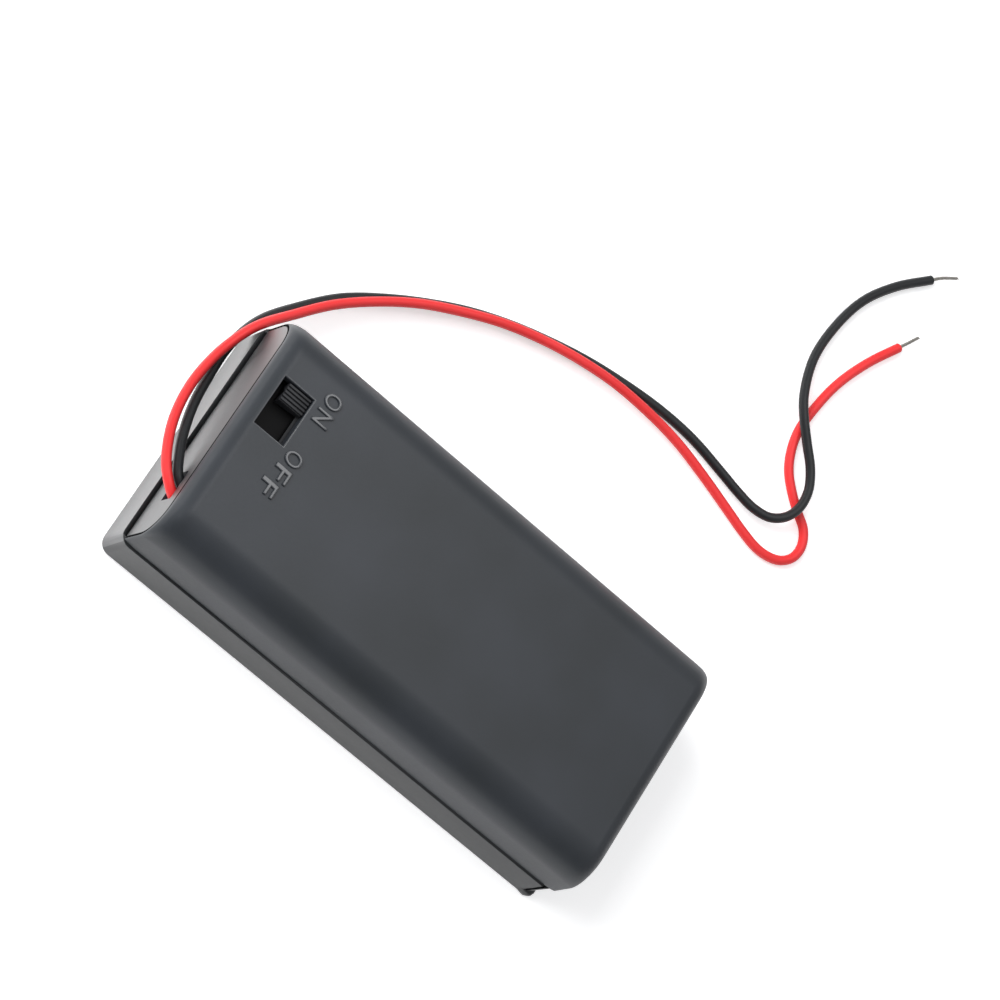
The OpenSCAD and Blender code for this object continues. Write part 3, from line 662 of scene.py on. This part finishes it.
def laminateMaterial():
    # paper laminate board, punched: brown with short fibres
    mat, tree = newMaterial("brownLaminateBoard")
    coord = addNode(tree, "ShaderNodeTexCoord")
    fibres = addNode(tree, "ShaderNodeMapping", {"Scale": (1, 0.2, 1)}, {"Vector": coord.outputs["Object"]})
    noise = addNode(tree, "ShaderNodeTexNoise", {"Scale": 1 / (0.6 * mm), "Detail": 5.0},
                    {"Vector": fibres.outputs["Vector"]})
    tone = addNode(tree, "ShaderNodeValToRGB", None, {"Fac": noise.outputs["Fac"]})
    tone.color_ramp.elements[0].color = hexColour("#6b4425")
    tone.color_ramp.elements[1].color = hexColour("#94643a")
    bump = addNode(tree, "ShaderNodeBump", {"Strength": 0.3, "Distance": 0.02 * mm},
                   {"Height": noise.outputs["Fac"]})
    shader = addNode(tree, "ShaderNodeBsdfPrincipled", {"Roughness": 0.55, "IOR": 1.5},
                     {"Base Color": tone.outputs["Color"], "Normal": bump.outputs["Normal"]})
    addNode(tree, "ShaderNodeOutputMaterial", None, {"Surface": shader.outputs["BSDF"]})
    return mat


laminate = laminateMaterial()


def dressNode(nodeName, material):
    obj = bpy.data.objects[nodeName]
    obj.data.materials.clear()
    obj.data.materials.append(material)


for nodeName in ("switch_wiper", "terminal_off", "terminal_common", "terminal_on"):
    dressNode(nodeName, brass)
for nodeName in ("negative_plate", "positive_plate", "bridge_plate"):
    dressNode(nodeName, nickel)
dressNode("switch_base", laminate)
dressNode("solder_joints", solderMetal)


# Contact springs: cone springs of round wire, closed at both ends
springs = {
    "wire": 0.6,         # diameter of the wire
    "turns": 4.5,
    "closedTurns": 0.75,  # of them flat at each end
    "length": 7.6,
    "base": 4.3,         # radius at the plate
    "taper": 2.0,        # how much smaller the radius is at the tip
    "pointsPerTurn": 28,
    "cellZ": 8.6,        # height of the cells' axes
    "pitch": 15.6,       # distance between them
    "clear": 0.02,       # gap to the plate
}


def springTree(material):
    # a spiral along X whose first and last turns lie flat, swept with the wire's round section
    tree, start, end = newShape("coneSpring", {"Turns": 0.0, "Points": 100, "Base radius": 0.0,
                                               "Tip radius": 0.0, "Length": 0.0, "Wire radius": 0.0})
    spiral = addNode(tree, "GeometryNodeCurveSpiral", {"Height": 0.0},
                     {"Resolution": start.outputs["Points"], "Rotations": start.outputs["Turns"],
                      "Start Radius": start.outputs["Base radius"], "End Radius": start.outputs["Tip radius"]})
    along = addNode(tree, "GeometryNodeSplineParameter")
    turns = addNode(tree, "ShaderNodeMath", {"operation": "MULTIPLY"},
                    {0: along.outputs["Factor"], 1: start.outputs["Turns"]})
    last = addNode(tree, "ShaderNodeMath", {"operation": "SUBTRACT", 1: springs["closedTurns"]},
                   {0: start.outputs["Turns"]})
    rise = addNode(tree, "ShaderNodeMapRange", {"From Min": springs["closedTurns"]},
                   {"Value": turns.outputs[0], "From Max": last.outputs[0], "To Max": start.outputs["Length"]})
    place = addNode(tree, "GeometryNodeInputPosition")
    apart = addNode(tree, "ShaderNodeSeparateXYZ", None, {"Vector": place.outputs["Position"]})
    along3 = addNode(tree, "ShaderNodeCombineXYZ", None,
                     {"X": rise.outputs["Result"], "Y": apart.outputs["X"], "Z": apart.outputs["Y"]})
    moved = addNode(tree, "GeometryNodeSetPosition", None,
                    {"Geometry": spiral.outputs["Curve"], "Position": along3.outputs["Vector"]})
    section = addNode(tree, "GeometryNodeCurvePrimitiveCircle", {"Resolution": 12},
                      {"Radius": start.outputs["Wire radius"]})
    swept = addNode(tree, "GeometryNodeCurveToMesh", {"Fill Caps": True},
                    {"Curve": moved.outputs["Geometry"], "Profile Curve": section.outputs["Curve"]})
    real = addNode(tree, "GeometryNodeRealizeInstances", None, {"Geometry": swept.outputs["Mesh"]})
    clad = addNode(tree, "GeometryNodeSetMaterial", {"Material": material},
                   {"Geometry": real.outputs["Geometry"]})
    tree.links.new(clad.outputs["Geometry"], end.inputs["Geometry"])
    return tree


springShape = springTree(springSteel)


def coneSpring(name, nodeName, x, side, way):
    obj = runShape(name, bpy.data.meshes.new(name + "Start"), springShape, {
        "Turns": springs["turns"], "Points": int(springs["turns"] * springs["pointsPerTurn"]),
        "Base radius": springs["base"] * mm, "Tip radius": (springs["base"] - springs["taper"]) * mm,
        "Length": (springs["length"] - springs["wire"]) * mm, "Wire radius": springs["wire"] / 2 * mm})
    half = springs["wire"] / 2 + springs["clear"]
    # the base lies on its plate at x, the tip points along way
    place = Matrix.Translation(Vector((x + way * half, side * springs["pitch"] / 2, springs["cellZ"])) * mm)
    obj.data.transform(place @ Matrix.Rotation(0 if way > 0 else math.pi, 4, "Z"))
    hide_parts(nodeName)
    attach(obj, "case")


coneSpring("negativeConeSpring", "negative_spring", -22.5, -1, 1)
coneSpring("bridgeConeSpring", "bridge_spring", 33.35, 1, -1)
print("switch and contacts made")


# Table and light: white paper between bright walls, with a darker room on the camera's side
studio = {
    "paperSeen": 0.48,      # what the camera sees on top of the lit paper
    # painted reflection: the paper glows in reflections only, brighter in a band ahead of the wire end, so
    # that the polished end panel mirrors a bright strip
    "reflectedGlowAhead": 1.0,   # the same in reflections, in a band ahead of the wire end
    "reflectedGlowBeside": 0.17,  # the same elsewhere
    "bandMiddle": -44,      # x of that band's middle, mm
    "bandFull": 5,          # full brightness up to this distance from its middle
    "bandEnd": 9,           # and none of it from here
    "tableHalf": 1.6,       # half the table's side, m
    "walls": 0.42,          # brightness that reflections see all round
    "darkSide": 0.12,       # the same toward -Y, above the table
    "ambient": 0.5,         # even light from all sides on dull surfaces
}


def tableMaterial():
    mat, tree = newMaterial("whitePaperTable")
    coord = addNode(tree, "ShaderNodeTexCoord")
    noise = addNode(tree, "ShaderNodeTexNoise", {"Scale": 1 / (60 * mm), "Detail": 1.0},
                    {"Vector": coord.outputs["Object"]})
    tone = addNode(tree, "ShaderNodeValToRGB", None, {"Fac": noise.outputs["Fac"]})
    tone.color_ramp.elements[0].color = hexColour("#f6f7f8")
    tone.color_ramp.elements[1].color = hexColour("#fafafa")
    paper = addNode(tree, "ShaderNodeBsdfDiffuse", None, {"Color": tone.outputs["Color"]})
    path = addNode(tree, "ShaderNodeLightPath")
    # painted reflection: for reflected rays the paper glows, most in a band across x ahead of the wire end
    where = addNode(tree, "ShaderNodeSeparateXYZ", None, {"Vector": coord.outputs["Object"]})
    off = addNode(tree, "ShaderNodeMath", {"operation": "SUBTRACT", 1: studio["bandMiddle"] * mm},
                  {0: where.outputs["X"]})
    apart = addNode(tree, "ShaderNodeMath", {"operation": "ABSOLUTE"}, {0: off.outputs[0]})
    bright = addNode(tree, "ShaderNodeMapRange", {"From Min": studio["bandFull"] * mm,
                                                  "From Max": studio["bandEnd"] * mm,
                                                  "To Min": studio["reflectedGlowAhead"],
                                                  "To Max": studio["reflectedGlowBeside"]},
                     {"Value": apart.outputs[0]})
    mirrored = addNode(tree, "ShaderNodeMath", {"operation": "MULTIPLY"},
                       {0: path.outputs["Is Glossy Ray"], 1: bright.outputs["Result"]})
    glow = addNode(tree, "ShaderNodeMath", {"operation": "MULTIPLY_ADD", 1: studio["paperSeen"]},
                   {0: path.outputs["Is Camera Ray"], 2: mirrored.outputs[0]})
    lift = addNode(tree, "ShaderNodeEmission", {"Color": hexColour("#ffffff")}, {"Strength": glow.outputs[0]})
    both = addNode(tree, "ShaderNodeAddShader", None, {0: paper.outputs[0], 1: lift.outputs[0]})
    addNode(tree, "ShaderNodeOutputMaterial", None, {"Surface": both.outputs[0]})
    return mat


bm = bmesh.new()
half = studio["tableHalf"]
for x, y in ((-half, -half), (half, -half), (half, half), (-half, half)):
    bm.verts.new((x, y, 0))
bm.verts.ensure_lookup_table()
bm.faces.new(bm.verts)
table = pieceFrom(bm, "table", tableMaterial())

world = bpy.data.worlds.new("studio")
bpy.context.scene.world = world
world.use_nodes = True
tree = world.node_tree
tree.nodes.clear()
path = addNode(tree, "ShaderNodeLightPath")
coord = addNode(tree, "ShaderNodeTexCoord")
way = addNode(tree, "ShaderNodeSeparateXYZ", None, {"Vector": coord.outputs["Generated"]})
# how far a direction points to the dark side, and how far above the table
southward = addNode(tree, "ShaderNodeMapRange", {"interpolation_type": "SMOOTHSTEP",
                                                 "From Min": -0.25, "From Max": -0.75},
                    {"Value": way.outputs["Y"]})
raised = addNode(tree, "ShaderNodeMapRange", {"interpolation_type": "SMOOTHSTEP",
                                              "From Min": 0.02, "From Max": 0.22},
                 {"Value": way.outputs["Z"]})
dark = addNode(tree, "ShaderNodeMath", {"operation": "MULTIPLY"},
               {0: southward.outputs["Result"], 1: raised.outputs["Result"]})
walls = addNode(tree, "ShaderNodeMapRange", {"To Min": studio["walls"], "To Max": studio["darkSide"]},
                {"Value": dark.outputs[0]})
dull = addNode(tree, "ShaderNodeMix", {"A": studio["ambient"]},
               {"Factor": path.outputs["Is Glossy Ray"], "B": walls.outputs["Result"]})
level = addNode(tree, "ShaderNodeMix", {"B": 1.0},
                {"Factor": path.outputs["Is Camera Ray"], "A": dull.outputs["Result"]})
sky = addNode(tree, "ShaderNodeBackground", {"Color": hexColour("#fdfdff")},
              {"Strength": level.outputs["Result"]})
addNode(tree, "ShaderNodeOutputWorld", None, {"Surface": sky.outputs[0]})

lights = [
    # name, place in m, width and height in m, brightness of its face, the point it is aimed at,
    # True: seen in reflections only, False: lights dull surfaces only
    ("mainSoftBox", (-0.82, 0.06, 0.7), 0.8, 0.8, 5.2, (0, 0.01, 0), False),
    ("topSoftBox", (0.002, 0.144, 0.364), 0.24, 0.24, 1.55, (0, 0, 0.01), True),
    ("lowSoftBox", (-0.85, 0.3, 0.11), 0.9, 0.12, 2.8, (0, 0, 0.01), True),
]
for name, place, width, height, shine, aim, shows in lights:
    data = bpy.data.lights.new(name, "AREA")
    data.shape = "RECTANGLE"
    data.size = width
    data.size_y = height
    data.energy = shine * math.pi * width * height
    lamp = bpy.data.objects.new(name, data)
    bpy.context.scene.collection.objects.link(lamp)
    lamp.location = place
    lamp.rotation_euler = (Vector(aim) - Vector(place)).to_track_quat("-Z", "Y").to_euler()
    lamp.visible_glossy = shows
    lamp.visible_diffuse = not shows
    lamp.visible_camera = False

bpy.context.scene.view_settings.view_transform = "Standard"
print("table and light set")
